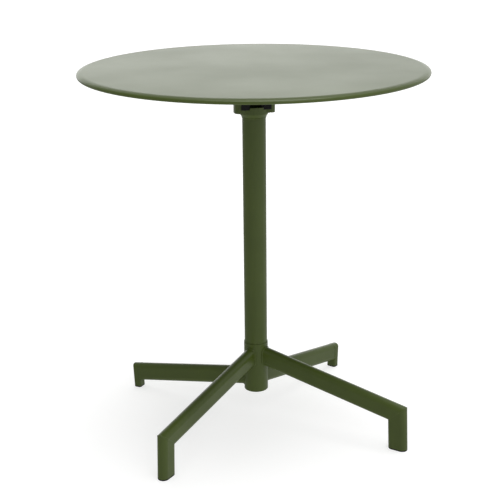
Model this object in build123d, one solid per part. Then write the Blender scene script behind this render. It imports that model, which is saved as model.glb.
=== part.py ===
from build123d import *
import os
from math import cos, radians, sin, tan

# Round flip-top bistro table on a nesting X base.
# Frame: origin on the floor on the column's axis, +Z up, the tall pair of legs towards -Y.
# Lengths are in millimetres and angles in degrees.

# ---------------------------------------------------------------- driving dimensions
TABLE_HEIGHT = 750.0
TOP_DIAMETER = 700.0

# Pressed sheet top: flat field, soft shoulder, then a tight curl under the edge.
SHEET = 1.2
SHOULDER_RADIUS = 45.0
SHOULDER_TURN = 18.0
CURL_RADIUS = 3.2
CURL_TURN = 230.0

# Column and the sleeve that it stands in.
COLUMN_RADIUS = 24.0
COLUMN_WALL = 2.0
COLUMN_TOP = 649.0
HUB_RADIUS = 25.5
HUB_BORE_RADIUS = 24.1
HUB_BOTTOM = 54.0
HUB_TOP = 164.0
SEAT_THICKNESS = 8.0
COLUMN_FOOT = 74.0

# Flat-oval tube of the legs.
TUBE_DEPTH = 40.5
TUBE_WIDTH = 23.0
TUBE_WALL = 1.5

# Front pair: high arms with tall mitred uprights that splay outwards a little.
FRONT_HALF_ANGLE = 44.3
FRONT_REACH = 357.5
FRONT_CORNER_HEIGHT = 95.0
FRONT_HEIGHT_AT_HUB = 153.5
FRONT_SPLAY = 2.4

# Back pair: low arms on short end posts, so that one table's back nests under the next one's front.
BACK_HALF_ANGLE = 50.6
BACK_REACH = 310.0
BACK_CORNER_HEIGHT = 54.5
BACK_HEIGHT_AT_HUB = 100.0
BACK_POST_LEAN = 3.0
BACK_POST_DEPTH = 17.0
BACK_POST_WIDTH = 22.4
BACK_POST_CORNER = 5.0
POST_CAP = 7.0
POST_TOP_CORNER = 10.9

# Push-in plastic glides.
GLIDE_FLANGE = 3.0
GLIDE_EDGE = 1.0
GLIDE_PLUG = 14.0

# Tie rod (M10) that clamps column, seat and head together.
ROD_RADIUS = 5.0
ROD_BOTTOM = 56.0
ROD_TOP = 634.0
NUT_FLATS = 16.0
NUT_HEIGHT = 8.0
WASHER_RADIUS = 10.0
WASHER = 2.0

# Head casting on top of the column.
SPIGOT_LENGTH = 40.0
LIP_RADIUS = 25.2
LIP_HEIGHT = 2.8
COLLAR_RADIUS = 29.5
CONE_TOP = 658.5
COLLAR_TOP = 660.5
SADDLE_FLOOR = 673.5
CHANNEL_FALL = 13.0
POCKET_FLOOR = 668.5
HEAD_WIDTH = 83.0
HEAD_FRONT = -20.0
HEAD_BACK = 14.0
HEAD_CORNER = 12.0
CHEEK = 11.0
WING_RISE = 4.0

# Tilt hinge across the head (M10 bolt along X).
HINGE_Y = -10.0
HINGE_Z = 705.0
BOLT_RADIUS = 5.0
BORE_CLEARANCE = 0.06
CHEEK_BOSS_RADIUS = 17.0
FACE_CLEARANCE = 0.1

# Bracket under the top.
BRACKET_UNDERSIDE = 734.0
BRACKET_PLATE = 4.0
BRACKET_LENGTH = 124.0
BRACKET_DEPTH = 112.0
LUG_GAP = 31.5
LUG = 4.0
LUG_DEPTH = 20.0
LUG_REACH = 31.5
SCREW_X = 48.0
RAIL_Y = 42.0
RAIL_LENGTH = 560.0
RAIL_WIDTH = 26.0
RAIL_FLANGE = 10.0
RAIL_WALL = 1.5
SCREW_RADIUS = 3.0
SCREW_HOLE_RADIUS = 3.3
SCREW_HEAD_RADIUS = 5.5
SCREW_HEAD = 3.2
WELD_NUT_FLATS = 10.0
WELD_NUT = 5.0

# Rubber stops: pads under the bracket at rest, buffers in front of it when upright.
STOP_PAD = 6.0
STOP_PAD_DEPTH = 11.0
BUFFER = 3.0
BUFFER_BOTTOM = 688.0
BUFFER_TOP = 701.0

# Nylon friction blocks that straddle the bracket's lugs inside the head.
BLOCK_INSIDE = 13.9
BLOCK_FRONT = -24.0
BLOCK_BACK = 4.0
BLOCK_TOP = 718.0
BLOCK_FRONT_TOP = 690.0

# Clamp lever on the left end of the hinge bolt.
LEVER_HUB_RADIUS = 11.0
LEVER_HUB = 14.0
LEVER_LENGTH = 74.0
LEVER_BAR = 5.0
LEVER_BAR_HEIGHT = 15.0
GRIP_LENGTH = 40.0
GRIP_WIDTH = 12.0
GRIP_HEIGHT = 20.0

# ---------------------------------------------------------------- helpers
FAR = 1000.0


def save(name, shape):
    shape.label = name
    export_step(shape, f"parts/{name}.step")


def upright_cylinder(radius, bottom, top, x=0.0, y=0.0):
    return Pos(x, y, (bottom + top) / 2) * Cylinder(radius, top - bottom)


def cross_cylinder(radius, x_from, x_to):
    """Cylinder along X on the hinge axis."""
    middle = (x_from + x_to) / 2
    return Pos(middle, HINGE_Y, HINGE_Z) * Rot(0, 90, 0) * Cylinder(radius, abs(x_to - x_from))


def block(x, y, z):
    """Box from three (low, high) pairs."""
    sizes = [high - low for low, high in (x, y, z)]
    centre = [(high + low) / 2 for low, high in (x, y, z)]
    return Pos(*centre) * Box(*sizes)


def beyond(point, direction):
    """Everything past a plane through point, on the side that direction points to."""
    return Plane(origin=point, z_dir=direction) * Pos(0, 0, FAR / 2) * Box(FAR, FAR, FAR)


def hexagon(flats, height):
    return extrude(RegularPolygon(flats / 2, 6, major_radius=False), height)


def mirrored(shape):
    return mirror(shape, about=Plane.YZ)


# ---------------------------------------------------------------- column and hub
def hub_sleeve():
    sleeve = upright_cylinder(HUB_RADIUS, HUB_BOTTOM, HUB_TOP)
    rims = sleeve.edges().filter_by(GeomType.CIRCLE).sort_by(Axis.Z)
    sleeve = fillet(rims[0], 1.0)
    sleeve = chamfer(sleeve.edges().filter_by(GeomType.CIRCLE).sort_by(Axis.Z)[-1], 0.6)
    return sleeve - upright_cylinder(HUB_BORE_RADIUS, 0, FAR)


def column_seat():
    seat = upright_cylinder(HUB_BORE_RADIUS, COLUMN_FOOT - SEAT_THICKNESS, COLUMN_FOOT)
    return seat - upright_cylinder(ROD_RADIUS + 0.5, 0, FAR)


def column_tube():
    tube = upright_cylinder(COLUMN_RADIUS, COLUMN_FOOT, COLUMN_TOP)
    return tube - upright_cylinder(COLUMN_RADIUS - COLUMN_WALL, 0, FAR)


def tie_rod():
    rod = upright_cylinder(ROD_RADIUS, ROD_BOTTOM, ROD_TOP)
    return chamfer(rod.edges().filter_by(GeomType.CIRCLE), 1.0)


def tie_rod_washer():
    top = COLUMN_FOOT - SEAT_THICKNESS
    return upright_cylinder(WASHER_RADIUS, top - WASHER, top) - upright_cylinder(ROD_RADIUS + 0.25, 0, FAR)


def tie_rod_nut():
    top = COLUMN_FOOT - SEAT_THICKNESS - WASHER
    nut = Pos(0, 0, top - NUT_HEIGHT) * hexagon(NUT_FLATS, NUT_HEIGHT)
    return nut - upright_cylinder(ROD_RADIUS, 0, FAR)


# ---------------------------------------------------------------- legs
# Each leg is drawn in its own plane: X outwards from the column, Z up. It is then turned about Z.
def arm_slope(reach, corner_height, height_at_hub):
    """Fall of the arm per millimetre of run."""
    return (height_at_hub - corner_height) / (reach - HUB_RADIUS)


def flat_oval_bar(corner, along, inset=0.0):
    """Flat-oval bar along a direction, whose outer line passes through the leg's outer corner."""
    outwards = Vector(-along.Z, 0, along.X)
    middle = corner - outwards * (TUBE_DEPTH / 2) - along * FAR / 2
    section = Plane(origin=middle, x_dir=outwards, z_dir=along)
    outline = section * SlotOverall(TUBE_DEPTH - 2 * inset, TUBE_WIDTH - 2 * inset)
    return extrude(outline, FAR)


FRONT_SLOPE = arm_slope(FRONT_REACH, FRONT_CORNER_HEIGHT, FRONT_HEIGHT_AT_HUB)
BACK_SLOPE = arm_slope(BACK_REACH, BACK_CORNER_HEIGHT, BACK_HEIGHT_AT_HUB)
FRONT_CORNER = Vector(FRONT_REACH, 0, FRONT_CORNER_HEIGHT)
BACK_CORNER = Vector(BACK_REACH, 0, BACK_CORNER_HEIGHT)
FRONT_ARM_ALONG = Vector(1, 0, -FRONT_SLOPE).normalized()
BACK_ARM_ALONG = Vector(1, 0, -BACK_SLOPE).normalized()
UPRIGHT_ALONG = Vector(sin(radians(FRONT_SPLAY)), 0, -cos(radians(FRONT_SPLAY)))
# The mitre plane halves the angle between the front arm and its upright.
MITRE = FRONT_ARM_ALONG + UPRIGHT_ALONG


def clear_of_hub(bar):
    return bar - upright_cylinder(HUB_RADIUS, 0, FAR) - beyond((0, 0, 0), (-1, 0, 0))


def front_arm():
    outer = flat_oval_bar(FRONT_CORNER, FRONT_ARM_ALONG)
    inner = flat_oval_bar(FRONT_CORNER, FRONT_ARM_ALONG, TUBE_WALL)
    return clear_of_hub(outer - inner - beyond(FRONT_CORNER, MITRE))


def front_post(inset, bottom):
    """Splayed upright above a height, up to the mitre."""
    post = flat_oval_bar(FRONT_CORNER, UPRIGHT_ALONG, inset)
    return post - beyond((0, 0, bottom), (0, 0, -1)) - beyond(FRONT_CORNER, -MITRE)


def front_upright():
    return front_post(0, GLIDE_FLANGE) - front_post(TUBE_WALL, GLIDE_FLANGE)


def front_glide():
    foot_reach = FRONT_REACH + (FRONT_CORNER_HEIGHT - GLIDE_FLANGE) * tan(radians(FRONT_SPLAY))
    outline = SlotOverall(TUBE_DEPTH, TUBE_WIDTH)
    flange = extrude(Pos(foot_reach - TUBE_DEPTH / 2, 0, 0) * outline, GLIDE_FLANGE)
    flange = fillet(flange.faces().sort_by(Axis.Z)[0].edges(), GLIDE_EDGE)
    plug_top = (0, 0, GLIDE_FLANGE + GLIDE_PLUG)
    plug = front_post(TUBE_WALL, GLIDE_FLANGE) - beyond(plug_top, (0, 0, 1))
    return flange + plug


def back_arm():
    """Low arm, butted against the inner face of its post."""
    outwards = Vector(cos(radians(BACK_POST_LEAN)), 0, -sin(radians(BACK_POST_LEAN)))
    butt = BACK_CORNER - outwards * BACK_POST_DEPTH
    tube = flat_oval_bar(BACK_CORNER, BACK_ARM_ALONG)
    tube = tube - flat_oval_bar(BACK_CORNER, BACK_ARM_ALONG, TUBE_WALL)
    return clear_of_hub(tube - beyond(butt, outwards))


def back_post_outline(inset=0.0):
    return RectangleRounded(
        BACK_POST_DEPTH - 2 * inset, BACK_POST_WIDTH - 2 * inset, BACK_POST_CORNER - inset
    )


def back_post_bar(inset, bottom, top):
    """Short post bar between two heights, leaning inwards at the foot."""
    outer_edge = BACK_REACH - (BACK_CORNER_HEIGHT - bottom) * tan(radians(BACK_POST_LEAN))
    place = Pos(outer_edge - BACK_POST_DEPTH / 2, 0, bottom)
    lean = Vector(sin(radians(BACK_POST_LEAN)), 0, cos(radians(BACK_POST_LEAN)))
    return extrude(place * back_post_outline(inset), (top - bottom) / lean.Z, dir=lean)


# The post's top is in line with the arm's top, rounded across, and closed by a welded cap.
ABOVE_BACK_ARM = Vector(-BACK_ARM_ALONG.Z, 0, BACK_ARM_ALONG.X)
UNDER_CAP = BACK_CORNER - ABOVE_BACK_ARM * POST_CAP


def rounded_below(inset):
    """Bar along the arm whose top is the post's rounded top."""
    depth = 2 * BACK_CORNER_HEIGHT
    middle = BACK_CORNER - ABOVE_BACK_ARM * (depth / 2) - BACK_ARM_ALONG * (FAR / 2)
    section = Plane(origin=middle, x_dir=ABOVE_BACK_ARM, z_dir=BACK_ARM_ALONG)
    outline = RectangleRounded(
        depth - 2 * inset, BACK_POST_WIDTH - 2 * inset, POST_TOP_CORNER - inset
    )
    return extrude(section * outline, FAR)


def long_back_post(inset):
    bar = back_post_bar(inset, GLIDE_FLANGE, BACK_CORNER_HEIGHT + BACK_POST_DEPTH)
    return bar & rounded_below(inset)


def back_post():
    return long_back_post(0) - long_back_post(TUBE_WALL) - beyond(UNDER_CAP, ABOVE_BACK_ARM)


def back_post_cap():
    return long_back_post(0) - beyond(UNDER_CAP, -ABOVE_BACK_ARM)


def back_glide():
    flange = back_post_bar(0, 0, GLIDE_FLANGE)
    flange = fillet(flange.faces().sort_by(Axis.Z)[0].edges(), GLIDE_EDGE)
    return flange + back_post_bar(TUBE_WALL, GLIDE_FLANGE, GLIDE_FLANGE + GLIDE_PLUG)


# ---------------------------------------------------------------- head
HALF_HEAD = HEAD_WIDTH / 2
CHEEK_INSIDE = HALF_HEAD - CHEEK
PAD_OUTSIDE = HALF_HEAD - 3.0
PAD_MARGIN = 0.5
PAD_TOP = BRACKET_UNDERSIDE
PAD_BOTTOM = BRACKET_UNDERSIDE - STOP_PAD
BUFFER_FRONT = HINGE_Y - (BRACKET_UNDERSIDE - HINGE_Z) + FACE_CLEARANCE / 2


def collar():
    lip = upright_cylinder(LIP_RADIUS, COLUMN_TOP, COLUMN_TOP + LIP_HEIGHT)
    lip = fillet(lip.edges().filter_by(GeomType.CIRCLE), 0.9)
    cone_bottom = COLUMN_TOP + LIP_HEIGHT - 0.6
    cone_height = CONE_TOP - cone_bottom
    cone = Pos(0, 0, cone_bottom + cone_height / 2) * Cone(COLUMN_RADIUS + 0.6, COLLAR_RADIUS, cone_height)
    neck = upright_cylinder(COLLAR_RADIUS, CONE_TOP, SADDLE_FLOOR)
    spigot = upright_cylinder(COLUMN_RADIUS - COLUMN_WALL, COLUMN_TOP - SPIGOT_LENGTH, COLUMN_TOP)
    return lip + cone + neck + spigot


def saddle():
    """Cross beam under the hinge, whose underside rises towards both ends."""
    half = [
        (0, COLLAR_TOP),
        (COLLAR_RADIUS - 2, COLLAR_TOP),
        (HALF_HEAD, COLLAR_TOP + WING_RISE),
        (HALF_HEAD, SADDLE_FLOOR),
        (0, SADDLE_FLOOR),
    ]
    other_half = [(-x, z) for x, z in reversed(half[1:-1])]
    outline = Plane.XZ * make_face(Polyline(*half, *other_half, close=True))
    beam = extrude(outline, HEAD_BACK - HEAD_FRONT)
    return Pos(0, HEAD_BACK, 0) * beam


def cheek():
    """Right-hand ear of the head: hinge boss, rear stop post and front buffer nose."""
    root = block((CHEEK_INSIDE, HALF_HEAD), (HEAD_FRONT, HEAD_BACK), (COLLAR_TOP, HINGE_Z - 4))
    boss = cross_cylinder(CHEEK_BOSS_RADIUS, CHEEK_INSIDE, HALF_HEAD)
    post_front = HEAD_BACK - STOP_PAD_DEPTH
    post = block((CHEEK_INSIDE, PAD_OUTSIDE), (post_front, HEAD_BACK), (HINGE_Z - 4, PAD_BOTTOM))
    nose_back = HEAD_FRONT + HEAD_CORNER
    nose_depth = (BUFFER_FRONT + BUFFER, nose_back)
    nose = block((CHEEK_INSIDE, PAD_OUTSIDE), nose_depth, (BUFFER_BOTTOM, BUFFER_TOP))
    return root + boss, post + nose


def rounded_plan():
    """Upright block with the rounded plan of the head, which trims the fork's corners."""
    plan = RectangleRounded(HEAD_WIDTH, HEAD_BACK - HEAD_FRONT, HEAD_CORNER)
    return extrude(Pos(0, (HEAD_FRONT + HEAD_BACK) / 2, COLUMN_TOP) * plan, TABLE_HEIGHT - COLUMN_TOP)


def block_pocket():
    """Shallow pocket in the saddle, open at the front, that the right-hand friction block sits in."""
    return block((BLOCK_INSIDE, CHEEK_INSIDE), (-FAR, BLOCK_BACK), (POCKET_FLOOR, HINGE_Z))


def drain_channel():
    """Channel between the friction blocks, falling towards the back of the saddle."""
    front, back = -COLLAR_RADIUS - 1, HEAD_BACK + 1
    fall = (back - front) * tan(radians(CHANNEL_FALL))
    outline = Polyline(
        (front, SADDLE_FLOOR), (front, HINGE_Z), (back, HINGE_Z), (back, SADDLE_FLOOR - fall), close=True
    )
    return extrude(Plane.YZ * make_face(outline), BLOCK_INSIDE, both=True)


def head_casting():
    ear, stops = cheek()
    fork = (saddle() + ear + mirrored(ear)) & rounded_plan()
    head = collar() + fork + stops + mirrored(stops)
    head = head - drain_channel() - block_pocket() - mirrored(block_pocket())
    head = head - cross_cylinder(BOLT_RADIUS + BORE_CLEARANCE, -HEAD_WIDTH, HEAD_WIDTH)
    return head - upright_cylinder(ROD_RADIUS, 0, ROD_TOP + 2)


def stop_pad():
    across = (CHEEK_INSIDE + PAD_MARGIN, PAD_OUTSIDE - PAD_MARGIN)
    front = HEAD_BACK - STOP_PAD_DEPTH
    return block(across, (front + PAD_MARGIN, HEAD_BACK - PAD_MARGIN), (PAD_BOTTOM, PAD_TOP))


def front_buffer():
    across = (CHEEK_INSIDE + PAD_MARGIN, PAD_OUTSIDE - PAD_MARGIN)
    height = (BUFFER_BOTTOM + PAD_MARGIN, BUFFER_TOP - PAD_MARGIN)
    return block(across, (BUFFER_FRONT, BUFFER_FRONT + BUFFER), height)


# ---------------------------------------------------------------- hinge and clamp
LEVER_HUB_RIGHT = -(HALF_HEAD + WASHER + FACE_CLEARANCE)
LEVER_HUB_LEFT = LEVER_HUB_RIGHT - LEVER_HUB
BOLT_END = LEVER_HUB_LEFT - 3.0


def hinge_bolt():
    shank = cross_cylinder(BOLT_RADIUS, BOLT_END, HALF_HEAD)
    shank = chamfer(shank.edges().filter_by(GeomType.CIRCLE).sort_by(Axis.X)[0], 1.0)
    head = Pos(HALF_HEAD, HINGE_Y, HINGE_Z) * Rot(0, 90, 0) * hexagon(NUT_FLATS, BOLT_RADIUS + 1.4)
    return shank + head


def clamp_washer():
    washer = cross_cylinder(WASHER_RADIUS, -HALF_HEAD - WASHER, -HALF_HEAD)
    return washer - cross_cylinder(BOLT_RADIUS + 0.25, -FAR, FAR)


def friction_block():
    """Right-hand nylon block between a cheek and a lug, slotted so that the lug can swing back."""
    across = (BLOCK_INSIDE, CHEEK_INSIDE)
    body = block(across, (BLOCK_FRONT, BLOCK_BACK), (POCKET_FLOOR, BLOCK_TOP))
    body = body - block(across, (-FAR, HEAD_FRONT), (BLOCK_FRONT_TOP, FAR))
    lug_sides = (LUG_GAP / 2 - FACE_CLEARANCE, LUG_GAP / 2 + LUG + FACE_CLEARANCE)
    slot = block(lug_sides, (HEAD_FRONT - FACE_CLEARANCE, FAR), (POCKET_FLOOR, FAR))
    return body - slot - cross_cylinder(BOLT_RADIUS + BORE_CLEARANCE, -FAR, FAR)


LEVER_MIDDLE = (LEVER_HUB_LEFT + LEVER_HUB_RIGHT) / 2
LEVER_TIP = HINGE_Y + LEVER_LENGTH


def lever_bar(y_from, y_to):
    return block(
        (LEVER_MIDDLE - LEVER_BAR / 2, LEVER_MIDDLE + LEVER_BAR / 2),
        (y_from, y_to),
        (HINGE_Z - LEVER_BAR_HEIGHT / 2, HINGE_Z + LEVER_BAR_HEIGHT / 2),
    )


def clamp_lever():
    hub = cross_cylinder(LEVER_HUB_RADIUS, LEVER_HUB_LEFT, LEVER_HUB_RIGHT)
    hub = fillet(hub.edges().filter_by(GeomType.CIRCLE), 1.5)
    lever = hub + lever_bar(HINGE_Y, LEVER_TIP - GRIP_LENGTH / 4)
    return lever - cross_cylinder(BOLT_RADIUS + BORE_CLEARANCE, -FAR, FAR)


def lever_grip():
    grip = block(
        (LEVER_MIDDLE - GRIP_WIDTH / 2, LEVER_MIDDLE + GRIP_WIDTH / 2),
        (LEVER_TIP - GRIP_LENGTH, LEVER_TIP),
        (HINGE_Z - GRIP_HEIGHT / 2, HINGE_Z + GRIP_HEIGHT / 2),
    )
    grip = fillet(grip.edges(), 3.5)
    return grip - lever_bar(HINGE_Y, LEVER_TIP - GRIP_LENGTH / 4)


# ---------------------------------------------------------------- top
SHEET_UNDERSIDE = TABLE_HEIGHT - SHEET


def top_outline():
    """Half section of the sheet: concentric arcs follow the shoulder and the curl."""
    middle_z = TABLE_HEIGHT - SHEET / 2
    turn = radians(SHOULDER_TURN)
    curl_x = TOP_DIAMETER / 2 - SHEET / 2 - CURL_RADIUS
    gap = SHOULDER_RADIUS - CURL_RADIUS
    shoulder_x = curl_x - gap * sin(turn)
    shoulder_z = middle_z - SHOULDER_RADIUS
    curl_z = shoulder_z + gap * cos(turn)
    rest = CURL_TURN - SHOULDER_TURN

    def side(offset):
        z = middle_z + offset
        shoulder = CenterArc((shoulder_x, shoulder_z), SHOULDER_RADIUS + offset, 90, -SHOULDER_TURN)
        curl = CenterArc((curl_x, curl_z), CURL_RADIUS + offset, 90 - SHOULDER_TURN, -rest)
        return [Line((0, z), (shoulder_x, z)), shoulder, curl]

    outer = side(SHEET / 2)
    inner = side(-SHEET / 2)
    closing = [Line(outer[0] @ 0, inner[0] @ 0), Line(outer[2] @ 1, inner[2] @ 1)]
    return make_face(Curve() + outer + inner + closing)


def table_top():
    return revolve(Plane.XZ * top_outline(), Axis.Z)


def stiffening_rail():
    """Hat-section rail along X, spot-welded under the sheet, open side up."""
    low = BRACKET_UNDERSIDE + BRACKET_PLATE
    half = RAIL_WIDTH / 2
    length = (-RAIL_LENGTH / 2, RAIL_LENGTH / 2)
    hat = block(length, (-half, half), (low, SHEET_UNDERSIDE))
    inner = half - RAIL_WALL
    hat = hat - block(length, (-inner, inner), (low + RAIL_WALL, SHEET_UNDERSIDE))
    for sign in (-1, 1):
        edges = sorted((sign * half, sign * (half + RAIL_FLANGE)))
        hat = hat + block(length, edges, (SHEET_UNDERSIDE - RAIL_WALL, SHEET_UNDERSIDE))
    for x in (-SCREW_X, SCREW_X):
        hat = hat - upright_cylinder(SCREW_HOLE_RADIUS, 0, FAR, x)
    return hat


def lug():
    """Right-hand hanging lug of the bracket, round at its lower end."""
    outer = (LUG_GAP / 2, LUG_GAP / 2 + LUG)
    depth = (HINGE_Y - LUG_DEPTH / 2, HINGE_Y + LUG_DEPTH / 2)
    round_z = HINGE_Z - LUG_REACH + LUG_DEPTH / 2
    plate = block(outer, depth, (round_z, BRACKET_UNDERSIDE))
    end = Pos(LUG_GAP / 2 + LUG / 2, HINGE_Y, round_z) * Rot(0, 90, 0) * Cylinder(LUG_DEPTH / 2, LUG)
    return plate + end


def screw_places():
    return [(x, y) for x in (-SCREW_X, SCREW_X) for y in (-RAIL_Y, RAIL_Y)]


def top_bracket():
    plate = Pos(0, 0, BRACKET_UNDERSIDE) * extrude(
        RectangleRounded(BRACKET_LENGTH, BRACKET_DEPTH, 8), BRACKET_PLATE
    )
    right_lug = lug()
    bracket = plate + right_lug + mirrored(right_lug)
    bracket = bracket - cross_cylinder(BOLT_RADIUS + BORE_CLEARANCE, -HALF_HEAD, HALF_HEAD)
    for x, y in screw_places():
        bracket = bracket - upright_cylinder(SCREW_HOLE_RADIUS, 0, FAR, x, y)
    return bracket


def bracket_screw(x, y):
    shank_top = BRACKET_UNDERSIDE + BRACKET_PLATE + RAIL_WALL + WELD_NUT + 0.5
    shank = upright_cylinder(SCREW_RADIUS, BRACKET_UNDERSIDE, shank_top, x, y)
    head = upright_cylinder(SCREW_HEAD_RADIUS, BRACKET_UNDERSIDE - SCREW_HEAD, BRACKET_UNDERSIDE, x, y)
    head = fillet(head.edges().filter_by(GeomType.CIRCLE).sort_by(Axis.Z)[0], 1.6)
    socket = Pos(x, y, BRACKET_UNDERSIDE - SCREW_HEAD) * hexagon(4.0, 2.2)
    return shank + head - socket


def weld_nut(x, y):
    nut = Pos(x, y, BRACKET_UNDERSIDE + BRACKET_PLATE + RAIL_WALL) * hexagon(WELD_NUT_FLATS, WELD_NUT)
    return nut - upright_cylinder(SCREW_RADIUS, 0, FAR, x, y)


# ---------------------------------------------------------------- write every node
FRONT = -90.0
BACK = 90.0

LEGS = {
    "front_left": FRONT - FRONT_HALF_ANGLE,
    "front_right": FRONT + FRONT_HALF_ANGLE,
    "back_left": BACK + BACK_HALF_ANGLE,
    "back_right": BACK - BACK_HALF_ANGLE,
}
FRONT_PIECES = {"arm": front_arm(), "upright": front_upright(), "glide": front_glide()}
BACK_PIECES = {
    "arm": back_arm(),
    "post": back_post(),
    "post_cap": back_post_cap(),
    "glide": back_glide(),
}

for leg, angle in LEGS.items():
    pieces = FRONT_PIECES if leg.startswith("front") else BACK_PIECES
    for piece, shape in pieces.items():
        save(f"{leg}_{piece}", Rot(0, 0, angle) * shape)

save("hub_sleeve", hub_sleeve())
save("column_seat", column_seat())
save("column_tube", column_tube())
save("tie_rod", tie_rod())
save("tie_rod_washer", tie_rod_washer())
save("tie_rod_nut", tie_rod_nut())

save("head_casting", head_casting())
save("stop_pads", Compound(children=[stop_pad(), mirrored(stop_pad())]))
save("front_buffers", Compound(children=[front_buffer(), mirrored(front_buffer())]))
save("hinge_bolt", hinge_bolt())
save("clamp_washer", clamp_washer())
save("right_friction_block", friction_block())
save("left_friction_block", mirrored(friction_block()))
save("clamp_lever", clamp_lever())
save("lever_grip", lever_grip())

save("table_top", table_top())
save("front_rail", Pos(0, -RAIL_Y, 0) * stiffening_rail())
save("back_rail", Pos(0, RAIL_Y, 0) * stiffening_rail())
save("top_bracket", top_bracket())
save("bracket_screws", Compound(children=[bracket_screw(x, y) for x, y in screw_places()]))
save("weld_nuts", Compound(children=[weld_nut(x, y) for x, y in screw_places()]))
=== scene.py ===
from math import cos, pi, radians, sin

import bpy
from mathutils import Matrix, Vector


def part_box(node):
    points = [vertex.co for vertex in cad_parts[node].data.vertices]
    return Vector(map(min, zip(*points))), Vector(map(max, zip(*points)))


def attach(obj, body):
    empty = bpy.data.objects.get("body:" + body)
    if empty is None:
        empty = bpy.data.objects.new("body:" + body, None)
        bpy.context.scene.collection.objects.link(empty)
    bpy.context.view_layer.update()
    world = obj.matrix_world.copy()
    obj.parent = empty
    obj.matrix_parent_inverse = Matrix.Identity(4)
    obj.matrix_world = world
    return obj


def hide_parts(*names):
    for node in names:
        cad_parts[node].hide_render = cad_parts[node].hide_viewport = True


# A round flip-top bistro table: pressed sheet top with a curled rim, slim round column and a
# nesting X base of flat-oval tube. All steel parts are sprayed olive green.
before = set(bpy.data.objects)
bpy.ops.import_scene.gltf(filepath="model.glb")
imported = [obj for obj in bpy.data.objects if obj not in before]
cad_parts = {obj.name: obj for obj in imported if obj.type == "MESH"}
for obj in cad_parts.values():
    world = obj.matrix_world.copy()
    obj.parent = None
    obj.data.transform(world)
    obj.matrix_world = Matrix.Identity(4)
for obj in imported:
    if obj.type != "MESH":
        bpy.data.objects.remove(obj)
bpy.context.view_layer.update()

# ------------------------------------------------------------------ the welded base
# Flat-oval steel tube arms, the mitred front uprights, the short capped back posts and the hub
# sleeve are welded together and then powder coated in one go: satin olive with fine orange peel.
GREEN = (0.056, 0.081, 0.0110, 1.0)
GREEN_DEEP = (0.048, 0.070, 0.0095, 1.0)
# A lighter green along the edges: partly rubbed wear, partly a painted edge highlight.
GREEN_WORN_AND_HIGHLIT = (0.090, 0.120, 0.032, 1.0)
TUBE_DEPTH, TUBE_WIDTH = 0.0405, 0.023
HUB_RADIUS, HUB_BORE = 0.0255, 0.0243


def place(tree, kind, x, y, **settings):
    """A node of that kind at a place in the tree, with its settings."""
    node = tree.nodes.new(kind)
    node.location = (x, y)
    for name, value in settings.items():
        if name in node.inputs:
            node.inputs[name].default_value = value
        else:
            setattr(node, name, value)
    return node


def wire(tree, source, out, target, into):
    """Links one node's output to another's input."""
    tree.links.new(source.outputs[out], target.inputs[into])


def new_group(name, inputs, outputs):
    """An empty node group with its sockets. Inputs are (name, kind, default)."""
    tree = bpy.data.node_groups.new(name, "ShaderNodeTree")
    for title, kind, default in inputs:
        socket = tree.interface.new_socket(title, in_out="INPUT", socket_type=kind)
        socket.default_value = default
    for title, kind in outputs:
        tree.interface.new_socket(title, in_out="OUTPUT", socket_type=kind)
    return tree, tree.nodes.new("NodeGroupInput"), tree.nodes.new("NodeGroupOutput")


# How sharp edges look on every coated or moulded part: rounded over by a fraction of a millimetre,
# with a patchy mask along them that lightens the colour: partly rubbed wear, partly a painted
# edge highlight.
edges, given, result = new_group(
    "rounded_edges",
    [("Radius", "NodeSocketFloat", 0.0006), ("Worn And Highlit Width", "NodeSocketFloat", 0.0012)],
    [("Normal", "NodeSocketVector"), ("Worn And Highlit", "NodeSocketFloat")],
)
soft = place(edges, "ShaderNodeBevel", 200, 200, samples=6)
wide = place(edges, "ShaderNodeBevel", 200, 0, samples=6)
flat = place(edges, "ShaderNodeNewGeometry", 200, -200)
likeness = place(edges, "ShaderNodeVectorMath", 400, -100, operation="DOT_PRODUCT")
# The mask along the edges that lightens the colour there: partly rubbed wear, partly painted
# highlight.
rub_and_highlight = place(edges, "ShaderNodeMapRange", 600, -100, **{"From Min": 0.985, "From Max": 0.80})
coords = place(edges, "ShaderNodeTexCoord", 0, -400)
patchy = place(edges, "ShaderNodeTexNoise", 200, -400, Scale=60.0, Detail=3.0)
uneven = place(edges, "ShaderNodeMapRange", 400, -400, **{"From Min": 0.40, "From Max": 0.68})
both = place(edges, "ShaderNodeMath", 800, -200, operation="MULTIPLY")
wire(edges, given, "Radius", soft, "Radius")
wire(edges, given, "Worn And Highlit Width", wide, "Radius")
wire(edges, wide, "Normal", likeness, 0)
wire(edges, flat, "Normal", likeness, 1)
wire(edges, likeness, "Value", rub_and_highlight, "Value")
wire(edges, coords, "Object", patchy, "Vector")
wire(edges, patchy, "Fac", uneven, "Value")
wire(edges, rub_and_highlight, "Result", both, 0)
wire(edges, uneven, "Result", both, 1)
wire(edges, soft, "Normal", result, "Normal")
wire(edges, both, "Value", result, "Worn And Highlit")

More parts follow.
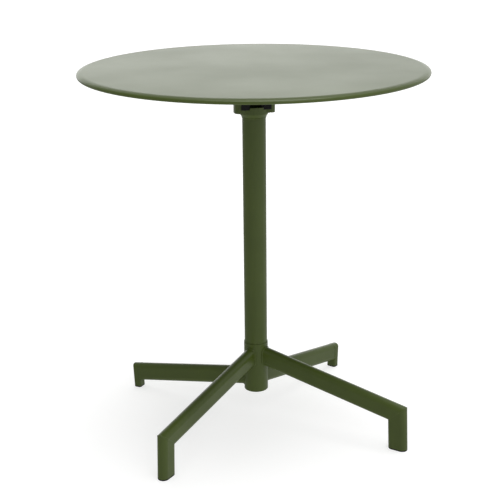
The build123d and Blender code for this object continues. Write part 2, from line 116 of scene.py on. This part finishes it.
# The sprayed skin itself: broad clouds where the powder lies thicker, which also change the
# roughness, and the orange peel with a finer grain on it.
GRAIN_SHARE = 0.12
skin, given, result = new_group(
    "sprayed_skin",
    [
        ("Colour", "NodeSocketColor", GREEN),
        ("Thick Colour", "NodeSocketColor", GREEN_DEEP),
        ("Worn And Highlit Colour", "NodeSocketColor", GREEN_WORN_AND_HIGHLIT),
        ("Worn And Highlit", "NodeSocketFloat", 0.0),
        ("Cloud Scale", "NodeSocketFloat", 9.0),
        ("Peel Scale", "NodeSocketFloat", 420.0),
        ("Smoothest", "NodeSocketFloat", 0.33),
        ("Roughest", "NodeSocketFloat", 0.45),
    ],
    [
        ("Colour", "NodeSocketColor"),
        ("Roughness", "NodeSocketFloat"),
        ("Height", "NodeSocketFloat"),
    ],
)
coords = place(skin, "ShaderNodeTexCoord", 0, 0)
clouds = place(skin, "ShaderNodeTexNoise", 200, 200, Detail=4.0, Roughness=0.55)
peel = place(skin, "ShaderNodeTexNoise", 200, 0, Detail=2.0, Roughness=0.5)
grain = place(skin, "ShaderNodeTexNoise", 200, -200, Scale=2600.0, Detail=1.0)
thick = place(skin, "ShaderNodeMix", 400, 200, data_type="RGBA")
spread = place(skin, "ShaderNodeMapRange", 300, 350, **{"From Min": 0.36, "From Max": 0.66})
# Towards the edge mask the colour goes lighter: partly rubbed wear, partly a painted edge
# highlight.
worn_and_highlit = place(skin, "ShaderNodeMix", 600, 200, data_type="RGBA")
rough = place(skin, "ShaderNodeMapRange", 500, -50)
height = place(skin, "ShaderNodeMath", 500, -250, operation="MULTIPLY_ADD")
height.inputs[1].default_value = GRAIN_SHARE
wire(skin, coords, "Object", clouds, "Vector")
wire(skin, coords, "Object", peel, "Vector")
wire(skin, coords, "Object", grain, "Vector")
wire(skin, given, "Cloud Scale", clouds, "Scale")
wire(skin, given, "Peel Scale", peel, "Scale")
wire(skin, clouds, "Fac", spread, "Value")
wire(skin, spread, "Result", thick, "Factor")
wire(skin, given, "Colour", thick, "A")
wire(skin, given, "Thick Colour", thick, "B")
wire(skin, given, "Worn And Highlit", worn_and_highlit, "Factor")
wire(skin, thick, "Result", worn_and_highlit, "A")
wire(skin, given, "Worn And Highlit Colour", worn_and_highlit, "B")
wire(skin, spread, "Result", rough, "Value")
wire(skin, given, "Smoothest", rough, "To Min")
wire(skin, given, "Roughest", rough, "To Max")
wire(skin, grain, "Fac", height, 0)
wire(skin, peel, "Fac", height, 2)
wire(skin, worn_and_highlit, "Result", result, "Colour")
wire(skin, rough, "Result", result, "Roughness")
wire(skin, height, "Value", result, "Height")


def coated(name, values, peel_depth, ior, edge_radius=0.0006, specular=0.5):
    """A sprayed or moulded material: its skin over rounded edges."""
    material = bpy.data.materials.new(name)
    material.use_nodes = True
    tree = material.node_tree
    shader = tree.nodes["Principled BSDF"]
    rim = place(tree, "ShaderNodeGroup", -700, -100, node_tree=edges)
    rim.inputs["Radius"].default_value = edge_radius
    rim.inputs["Worn And Highlit Width"].default_value = 2 * edge_radius
    coat = place(tree, "ShaderNodeGroup", -500, 100, node_tree=skin)
    for title, value in values.items():
        coat.inputs[title].default_value = value
    bump = place(tree, "ShaderNodeBump", -250, -150, Distance=peel_depth, Strength=1.0)
    shader.inputs["IOR"].default_value = ior
    shader.inputs["Specular IOR Level"].default_value = specular
    # The edge mask lightens the coat along every edge: partly rubbed wear, partly a painted
    # highlight.
    wire(tree, rim, "Worn And Highlit", coat, "Worn And Highlit")
    wire(tree, rim, "Normal", bump, "Normal")
    wire(tree, coat, "Height", bump, "Height")
    wire(tree, coat, "Colour", shader, "Base Color")
    wire(tree, coat, "Roughness", shader, "Roughness")
    wire(tree, bump, "Normal", shader, "Normal")
    return material


def finish_node(node, material):
    """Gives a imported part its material."""
    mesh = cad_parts[node].data
    mesh.materials.clear()
    mesh.materials.append(material)


green = coated("olive_powder_coat", {}, peel_depth=0.00006, ior=1.42)
for node in (
    "front_left_arm", "front_right_arm", "back_left_arm", "back_right_arm",
    "front_left_upright", "front_right_upright", "back_left_post", "back_right_post",
    "back_left_post_cap", "back_right_post_cap", "hub_sleeve", "column_seat",
):
    finish_node(node, green)

# ------------------------------------------------------------------ weld beads of the base
# Small gas-shielded fillet welds where each arm meets the hub, and seams dressed nearly flush where
# the front arms are mitred to their uprights and the back arms butt on their posts.
BEAD = 0.0022
COLLAR_START, COLLAR_END = 0.019, 0.06
SEAM, SEAM_WIDTH = 0.0004, 0.0034
OVAL_SIDES, ROUND_SIDES = 64, 96
PAST_HUB, PAST_TUBE = 0.2, 0.1
BEFORE_SEAM, AFTER_SEAM = 0.05, 0.04


def only(piece):
    """Back to object mode, with just that piece selected."""
    if bpy.context.mode != "OBJECT":
        bpy.ops.object.mode_set(mode="OBJECT")
    bpy.ops.object.select_all(action="DESELECT")
    piece.select_set(True)
    bpy.context.view_layer.objects.active = piece


def choose(piece, wanted, kind="VERT"):
    """Goes into edit mode with just those vertices, edges or faces selected that wanted picks."""
    only(piece)
    bpy.ops.object.mode_set(mode="EDIT")
    bpy.ops.mesh.select_mode(type=kind)
    bpy.ops.mesh.select_all(action="DESELECT")
    bpy.ops.object.mode_set(mode="OBJECT")
    parts = {"VERT": "vertices", "EDGE": "edges", "FACE": "polygons"}[kind]
    for part in getattr(piece.data, parts):
        part.select = wanted(part)
    bpy.ops.object.mode_set(mode="EDIT")


def settle(piece):
    """Puts the piece's place and turn into its mesh."""
    only(piece)
    bpy.ops.object.transform_apply(location=True, rotation=True, scale=True)


def modify(piece, kind, **settings):
    """Adds a modifier with its settings and applies it."""
    only(piece)
    bpy.ops.object.modifier_add(type=kind)
    modifier = piece.modifiers[-1]
    for title, value in settings.items():
        setattr(modifier, title, value)
    bpy.ops.object.modifier_apply(modifier=modifier.name)


def oval_bar(grow, start, end):
    """A bar with the tube's flat-oval section, grown all round, from start to end."""
    along = end - start
    bpy.ops.object.select_all(action="DESELECT")
    bpy.ops.mesh.primitive_cylinder_add(
        vertices=OVAL_SIDES,
        radius=TUBE_WIDTH / 2 + grow,
        depth=along.length,
        rotation=(0, 0, pi / OVAL_SIDES),
    )
    bar = bpy.context.object
    settle(bar)
    stretch = (TUBE_DEPTH - TUBE_WIDTH) / 2
    choose(bar, lambda v: v.co.x > 0)
    bpy.ops.transform.translate(value=(stretch, 0, 0))
    choose(bar, lambda v: v.co.x < 0)
    bpy.ops.transform.translate(value=(-stretch, 0, 0))
    bpy.ops.object.mode_set(mode="OBJECT")
    z = along.normalized()
    y = Vector((-z.y, z.x, 0)).normalized()
    x = y.cross(z)
    turn = Matrix((x, y, z)).transposed().to_4x4()
    bar.matrix_world = Matrix.Translation((start + end) / 2) @ turn
    settle(bar)
    return bar


def cut(piece, tool, operation):
    """Boolean of piece with tool, which is then thrown away."""
    modify(piece, "BOOLEAN", operation=operation, object=tool, solver="EXACT")
    bpy.data.objects.remove(tool)


lumps = bpy.data.textures.new("weld_ripple", "CLOUDS")
lumps.noise_scale = 0.004


def bead(piece, name, voxel=0.0006, smooth=8, ripple=0.0006):
    """Turns a sharp collar into a slightly rippled weld bead."""
    modify(piece, "REMESH", mode="VOXEL", voxel_size=voxel)
    modify(piece, "SMOOTH", factor=0.6, iterations=smooth)
    modify(
        piece, "DISPLACE", texture=lumps, texture_coords="GLOBAL", strength=ripple, mid_level=0.5
    )
    bpy.ops.object.shade_smooth()
    piece.name = piece.data.name = name
    piece.data.materials.append(green)
    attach(piece, "base")


def outward(angle, reach, height):
    """A point at that reach from the column's axis, in the leg's direction."""
    return Vector((reach * cos(radians(angle)), reach * sin(radians(angle)), height))


def hub_cylinder(radius):
    """An upright cylinder round the hub, longer than it."""
    bpy.ops.mesh.primitive_cylinder_add(
        vertices=ROUND_SIDES, radius=radius, depth=PAST_HUB, location=(0, 0, PAST_HUB / 2)
    )
    return bpy.context.object


def arm_slope(top_at_hub, reach, corner_height):
    """Fall of the arm per metre of run."""
    return (top_at_hub - corner_height) / (reach - HUB_RADIUS)


# Leg: angle, height of the arm's top line at the hub, reach and height of its outer corner.
FRONT_LEG = (0.1535, 0.3575, 0.095)
BACK_LEG = (0.100, 0.310, 0.0545)
LEGS = {
    "front_left": (-134.3, *FRONT_LEG),
    "front_right": (-45.7, *FRONT_LEG),
    "back_left": (140.6, *BACK_LEG),
    "back_right": (39.4, *BACK_LEG),
}
for leg, (angle, top_at_hub, reach, corner_height) in LEGS.items():
    slope = arm_slope(top_at_hub, reach, corner_height)
    drop = TUBE_DEPTH / 2 * (1 + slope * slope) ** 0.5
    start, end = (
        outward(angle, run, top_at_hub + slope * (HUB_RADIUS - run) - drop)
        for run in (COLLAR_START, COLLAR_END)
    )
    collar = oval_bar(BEAD, start, end)
    cut(collar, hub_cylinder(HUB_RADIUS + BEAD), "INTERSECT")
    cut(collar, hub_cylinder(HUB_BORE), "DIFFERENCE")
    bead(collar, f"{leg}_hub_weld")


def seam_bar(turn, corner, along):
    """The slightly grown bar of an arm or upright, its edge through the leg's outer corner."""
    above = Vector((-along.z, 0, along.x))
    centre = corner - above * (TUBE_DEPTH / 2)
    start, end = centre - along * BEFORE_SEAM, centre + along * AFTER_SEAM
    return oval_bar(SEAM, turn @ start, turn @ end)


def seam(name, angle, along, normal, corner, inwards, down=None):
    """A dressed seam round an arm's end, at a plane inwards from the leg's outer corner."""
    turn = Matrix.Rotation(radians(angle), 4, "Z")
    ring = seam_bar(turn, corner - along * inwards, along)
    if down:
        cut(ring, seam_bar(turn, corner, down), "INTERSECT")
    bpy.ops.mesh.primitive_cube_add(size=1.0, scale=(PAST_TUBE, PAST_TUBE, SEAM_WIDTH))
    slab = bpy.context.object
    slab.rotation_mode = "QUATERNION"
    slab.rotation_quaternion = (turn.to_3x3() @ normal).to_track_quat("Z", "Y")
    slab.location = turn @ (corner - along * inwards)
    settle(slab)
    cut(ring, slab, "INTERSECT")
    bead(ring, name, voxel=0.0005, smooth=6, ripple=0.0002)


FRONT_SPLAY = radians(2.4)
POST_LEAN, POST_DEPTH = radians(3.0), 0.017
for leg, (angle, top_at_hub, reach, corner_height) in LEGS.items():
    corner = Vector((reach, 0, corner_height))
    along = Vector((1, 0, -arm_slope(top_at_hub, reach, corner_height))).normalized()
    if leg.startswith("front"):
        down = Vector((sin(FRONT_SPLAY), 0, -cos(FRONT_SPLAY)))
        seam(f"{leg}_mitre_seam", angle, along, (along + down).normalized(), corner, 0, down)
    else:
        outwards = Vector((cos(POST_LEAN), 0, -sin(POST_LEAN)))
        seam(f"{leg}_post_seam", angle, along, outwards, corner, POST_DEPTH / outwards.dot(along))

# ------------------------------------------------------------------ plastic glides
# Push-in polypropylene glides close the ends of the feet. They are black and slightly grained by
# the mould, and go lighter grey along their edges, partly as scuffing and partly as a painted edge
# highlight.
black = coated(
    "black_polypropylene",
    {
        "Colour": (0.004, 0.004, 0.004, 1.0),
        "Thick Colour": (0.007, 0.007, 0.007, 1.0),
        # Lighter grey along the edges: partly scuffing, partly a painted edge highlight.
        "Worn And Highlit Colour": (0.026, 0.025, 0.024, 1.0),
        "Cloud Scale": 45.0,
        "Peel Scale": 1500.0,
        "Smoothest": 0.42,
        "Roughest": 0.60,
    },
    peel_depth=0.00005,
    ior=1.49,
    edge_radius=0.0004,
    specular=0.22,
)
for node in ("front_left_glide", "front_right_glide", "back_left_glide", "back_right_glide"):
    finish_node(node, black)

# ------------------------------------------------------------------ column and head
# The round column stands in the hub, held down by a tie rod. The head is an aluminium casting with
# a spigot in the column. Both are sprayed the same green.
for node in ("column_tube", "head_casting"):
    finish_node(node, green)

# ------------------------------------------------------------------ bright fasteners
# Zinc-plated steel: the tie rod with its nut and washer, the hinge bolt with its washer, and the
# bracket screws with their weld nuts. The plating is silvery with a faint straw tint.
zinc = coated(
    "zinc_plate",
    {
        "Colour": (0.56, 0.56, 0.54, 1.0),
        "Thick Colour": (0.47, 0.46, 0.42, 1.0),
        # Brighter along the edges: partly rubbed plating, partly a painted edge highlight.
        "Worn And Highlit Colour": (0.70, 0.70, 0.69, 1.0),
        "Cloud Scale": 120.0,
        "Peel Scale": 1800.0,
        "Smoothest": 0.28,
        "Roughest": 0.46,
    },
    peel_depth=0.00003,
    ior=1.5,
    edge_radius=0.0003,
)
zinc.node_tree.nodes["Principled BSDF"].inputs["Metallic"].default_value = 1.0
for node in (
    "tie_rod", "tie_rod_washer", "tie_rod_nut", "hinge_bolt", "clamp_washer", "bracket_screws",
    "weld_nuts",
):
    finish_node(node, zinc)

# ------------------------------------------------------------------ blocks, stops and clamp lever
# Black nylon friction blocks that straddle the lugs, rubber pads and buffers on the head's stops,
# and a zinc-plated lever with a moulded grip.
nylon = coated(
    "black_nylon",
    {
        "Colour": (0.003, 0.003, 0.0032, 1.0),
        "Thick Colour": (0.005, 0.005, 0.005, 1.0),
        # Lighter along the edges: partly rubbed wear, partly a painted edge highlight.
        "Worn And Highlit Colour": (0.020, 0.020, 0.020, 1.0),
        "Cloud Scale": 60.0,
        "Peel Scale": 900.0,
        "Smoothest": 0.34,
        "Roughest": 0.48,
    },
    peel_depth=0.00004,
    ior=1.53,
    specular=0.16,
)
rubber = coated(
    "black_rubber",
    {
        "Colour": (0.005, 0.005, 0.005, 1.0),
        "Thick Colour": (0.009, 0.009, 0.009, 1.0),
        # Lighter along the edges: partly rubbed wear, partly a painted edge highlight.
        "Worn And Highlit Colour": (0.022, 0.022, 0.021, 1.0),
        "Cloud Scale": 80.0,
        "Peel Scale": 1300.0,
        "Smoothest": 0.70,
        "Roughest": 0.88,
    },
    peel_depth=0.00008,
    ior=1.50,
    specular=0.25,
)
for node in ("left_friction_block", "right_friction_block"):
    finish_node(node, nylon)
for node in ("stop_pads", "front_buffers"):
    finish_node(node, rubber)
finish_node("clamp_lever", zinc)

# The grip: a moulded sleeve pushed on the lever's bar, scalloped for two fingers, with soft edges.
SCALLOP, SCALLOPS, GRIP_STEPS = 0.0007, 2, 24
SOFTNESS, SLACK = 0.0034, 0.0003
low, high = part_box("lever_grip")
bpy.ops.object.select_all(action="DESELECT")
bpy.ops.mesh.primitive_cube_add(size=1.0, location=(low + high) / 2, scale=high - low)
grip = bpy.context.object
settle(grip)
length = high.y - low.y


def is_lengthwise(edge):
    """Whether that edge of the grip runs along the lever's bar."""
    first, second = (grip.data.vertices[index].co for index in edge.vertices)
    return abs((first - second).y) > length / 2


choose(grip, is_lengthwise, "EDGE")
bpy.ops.mesh.subdivide(number_cuts=GRIP_STEPS - 1)
bpy.ops.object.mode_set(mode="OBJECT")
for step in range(1, GRIP_STEPS):
    level = low.y + length * step / GRIP_STEPS
    waist = SCALLOP * (1 - cos(2 * SCALLOPS * pi * step / GRIP_STEPS))
    choose(grip, lambda v: abs(v.co.y - level) < SLACK and v.co.z < (low.z + high.z) / 2)
    bpy.ops.transform.translate(value=(0, 0, waist))
modify(grip, "BEVEL", width=SOFTNESS, segments=5, limit_method="ANGLE", angle_limit=radians(50))
bpy.ops.object.shade_smooth_by_angle(angle=radians(40))
grip.name = grip.data.name = "moulded_grip"
grip.data.materials.append(black)
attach(grip, "lever")
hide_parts("lever_grip")

# ------------------------------------------------------------------ bracket and rails under the top
# A folded steel bracket screwed up into two hat-section rails, which are spot-welded under the
# sheet. Bracket and rails are sprayed with the rest.
for node in ("front_rail", "back_rail", "top_bracket"):
    finish_node(node, green)

# The spot welds: a shallow dished mark at even steps along both flanges of each rail.
FLANGE_UNDERSIDE, FLANGE_MIDDLES = 0.7473, (-0.060, -0.024, 0.024, 0.060)
WELD_RADIUS, WELD_TAPER, WELD_PITCH = 0.0034, 0.86, 0.052
WELD_RISE, WELD_RIM, WELD_DISH, DISH_SLOPE = 0.00025, 0.0007, 0.00018, 0.0010
bpy.ops.object.select_all(action="DESELECT")
bpy.ops.mesh.primitive_circle_add(
    vertices=20, radius=WELD_RADIUS, fill_type="NGON", location=(0, 0, FLANGE_UNDERSIDE)
)
mark = bpy.context.object
settle(mark)
choose(mark, lambda f: True, "FACE")
bpy.ops.mesh.extrude_region_move(TRANSFORM_OT_translate={"value": (0, 0, -WELD_RISE)})
bpy.ops.transform.resize(value=(WELD_TAPER, WELD_TAPER, 1))
bpy.ops.mesh.inset(thickness=WELD_RIM)
bpy.ops.transform.translate(value=(0, 0, WELD_DISH))
bpy.ops.mesh.inset(thickness=DISH_SLOPE)
bpy.ops.mesh.select_all(action="SELECT")
bpy.ops.mesh.normals_make_consistent(inside=False)
bpy.ops.object.mode_set(mode="OBJECT")
bpy.ops.object.shade_smooth_by_angle(angle=radians(40))
marks = []
for across in FLANGE_MIDDLES:
    for step in range(-5, 6):
        copy = mark.copy()
        copy.data = mark.data.copy()
        bpy.context.scene.collection.objects.link(copy)
        copy.location = (WELD_PITCH * step, across, 0)
        marks.append(copy)
bpy.data.objects.remove(mark)
only(marks[0])
for copy in marks:
    copy.select_set(True)
bpy.ops.object.join()
settle(marks[0])
marks[0].name = marks[0].data.name = "rail_spot_welds"
marks[0].data.materials.append(green)
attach(marks[0], "top")

# ------------------------------------------------------------------ pressed sheet top
# One 1.2 mm steel disc, pressed with a soft shoulder and curled under at the rim, powder coated
# with the rest. The coat changes slowly over the flat field, so it mirrors the room in soft clouds.
TOP_RADIUS, TOP_HEIGHT, SHEET = 0.350, 0.750, 0.0012
SHOULDER, SHOULDER_TURN = 0.030, radians(22)
CURL, CURL_TURN = 0.0032, radians(230)
SHOULDER_STEPS, CURL_STEPS = 10, 22
FIELD_RING = 0.10
curl_x = TOP_RADIUS - SHEET / 2 - CURL
gap = SHOULDER - CURL
shoulder_x = curl_x - gap * sin(SHOULDER_TURN)
middle = TOP_HEIGHT - SHEET / 2
shoulder_z = middle - SHOULDER
curl_z = shoulder_z + gap * cos(SHOULDER_TURN)
bpy.ops.object.select_all(action="DESELECT")
bpy.ops.mesh.primitive_circle_add(
    vertices=192, radius=shoulder_x, fill_type="NGON", location=(0, 0, middle)
)
sheet = bpy.context.object
settle(sheet)
choose(sheet, lambda e: True, "EDGE")
radius, level = shoulder_x, middle
rings = [
    (shoulder_x, shoulder_z, SHOULDER, SHOULDER_TURN * (i + 1) / SHOULDER_STEPS)
    for i in range(SHOULDER_STEPS)
]
rings += [
    (curl_x, curl_z, CURL, SHOULDER_TURN + (CURL_TURN - SHOULDER_TURN) * (i + 1) / CURL_STEPS)
    for i in range(CURL_STEPS)
]
for centre_x, centre_z, bend, turned in rings:
    wider = centre_x + bend * sin(turned)
    lower = centre_z + bend * cos(turned)
    bpy.ops.mesh.extrude_edges_move()
    bpy.ops.transform.resize(value=(wider / radius, wider / radius, 1))
    bpy.ops.transform.translate(value=(0, 0, lower - level))
    radius, level = wider, lower
choose(sheet, lambda f: len(f.vertices) > 4, "FACE")
for ring in range(2):
    bpy.ops.mesh.inset(thickness=FIELD_RING)
bpy.ops.mesh.poke()
bpy.ops.mesh.select_all(action="SELECT")
bpy.ops.mesh.normals_make_consistent(inside=False)
bpy.ops.object.mode_set(mode="OBJECT")
modify(sheet, "SOLIDIFY", thickness=SHEET, offset=0.0, use_even_offset=True)
bpy.ops.object.shade_smooth_by_angle(angle=radians(35))
sheet.name = sheet.data.name = "pressed_top"
top_green = coated(
    "olive_powder_coat_on_sheet",
    {"Cloud Scale": 3.2, "Smoothest": 0.33, "Roughest": 0.37},
    peel_depth=0.00005,
    ior=1.45,
)
sheet.data.materials.append(top_green)
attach(sheet, "top")
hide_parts("table_top")

# ------------------------------------------------------------------ studio
# A plain pale floor that glows a little, a pale surround that is brighter on the right, a soft lamp
# overhead, another in front, and a bright wall behind for the top to mirror.
bpy.ops.object.select_all(action="DESELECT")
bpy.ops.mesh.primitive_plane_add(size=60.0, location=(0, 0, 0))
floor = bpy.context.object
floor.name = "studio_floor"
pale = bpy.data.materials.new("pale_floor")
pale.use_nodes = True
tree = pale.node_tree
shader = tree.nodes["Principled BSDF"]
shader.inputs["Roughness"].default_value = 0.9
shader.inputs["Specular IOR Level"].default_value = 0.1
coords = place(tree, "ShaderNodeTexCoord", -700, 0)
mottle = place(tree, "ShaderNodeTexNoise", -500, 0, Scale=2.0, Detail=2.0)
tint = place(tree, "ShaderNodeMix", -250, 0, data_type="RGBA")
tint.inputs["A"].default_value = (0.45, 0.45, 0.45, 1.0)
tint.inputs["B"].default_value = (0.47, 0.47, 0.47, 1.0)
shader.inputs["Emission Color"].default_value = (1.0, 1.0, 1.0, 1.0)
shader.inputs["Emission Strength"].default_value = 0.64
wire(tree, coords, "Object", mottle, "Vector")
wire(tree, mottle, "Fac", tint, "Factor")
wire(tree, tint, "Result", shader, "Base Color")
floor.data.materials.append(pale)
floor.visible_glossy = False

world = bpy.data.worlds.new("studio_surround")
bpy.context.scene.world = world
world.use_nodes = True
tree = world.node_tree
coords = place(tree, "ShaderNodeTexCoord", -800, 0)
split = place(tree, "ShaderNodeSeparateXYZ", -600, 0)
side = place(
    tree, "ShaderNodeMapRange", -400, 0,
    **{"From Min": -1.0, "From Max": 1.0, "To Min": 0.30, "To Max": 0.70},
)
background = tree.nodes["Background"]
background.inputs["Color"].default_value = (1.0, 1.0, 1.0, 1.0)
wire(tree, coords, "Generated", split, "Vector")
wire(tree, split, "X", side, "Value")
wire(tree, side, "Result", background, "Strength")


def lamp(name, kind, power, place_at, aim, **settings):
    """A lamp at a place, aimed at a point, that the camera doesn't see."""
    data = bpy.data.lights.new(name, kind)
    data.energy = power
    for title, value in settings.items():
        setattr(data, title, value)
    holder = bpy.data.objects.new(name, data)
    bpy.context.scene.collection.objects.link(holder)
    holder.location = place_at
    holder.rotation_mode = "QUATERNION"
    holder.rotation_quaternion = (Vector(aim) - Vector(place_at)).to_track_quat("-Z", "Y")
    holder.visible_camera = False


lamp("soft_overhead", "SUN", 1.9, (0.5, 0.1, 4.0), (0, 0, 0), angle=radians(40))
lamp(
    "soft_front", "AREA", 36.0, (0.9, -4.0, 3.4), (0, 0, 0.3),
    shape="SQUARE", size=2.6,
)
lamp(
    "bright_wall", "AREA", 600.0, (5.0, 14.0, 2.5), (5.0, 0, 2.5),
    shape="RECTANGLE", size=25.0, size_y=5.0,
)

# ------------------------------------------------------------------ camera
# A long lens, a little left of the front and a little above the top, that looks slightly down.
AZIMUTH, DISTANCE, EYE_HEIGHT = radians(-13.06), 2.2769, 1.109
HEADING, PITCH, ROLL = radians(13.06 - 0.269), radians(90 - 18.031), radians(-0.57)
camera = bpy.data.objects.new("camera", bpy.data.cameras.new("camera"))
bpy.context.scene.collection.objects.link(camera)
camera.data.sensor_width = 36.0
camera.data.lens = 82.45
camera.data.clip_start, camera.data.clip_end = 0.05, 100.0
camera.matrix_world = (
    Matrix.Translation((DISTANCE * sin(AZIMUTH), -DISTANCE * cos(AZIMUTH), EYE_HEIGHT))
    @ Matrix.Rotation(-HEADING, 4, "Z")
    @ Matrix.Rotation(PITCH, 4, "X")
    @ Matrix.Rotation(ROLL, 4, "Z")
)
bpy.context.scene.camera = camera
bpy.context.scene.view_settings.view_transform = "Standard"
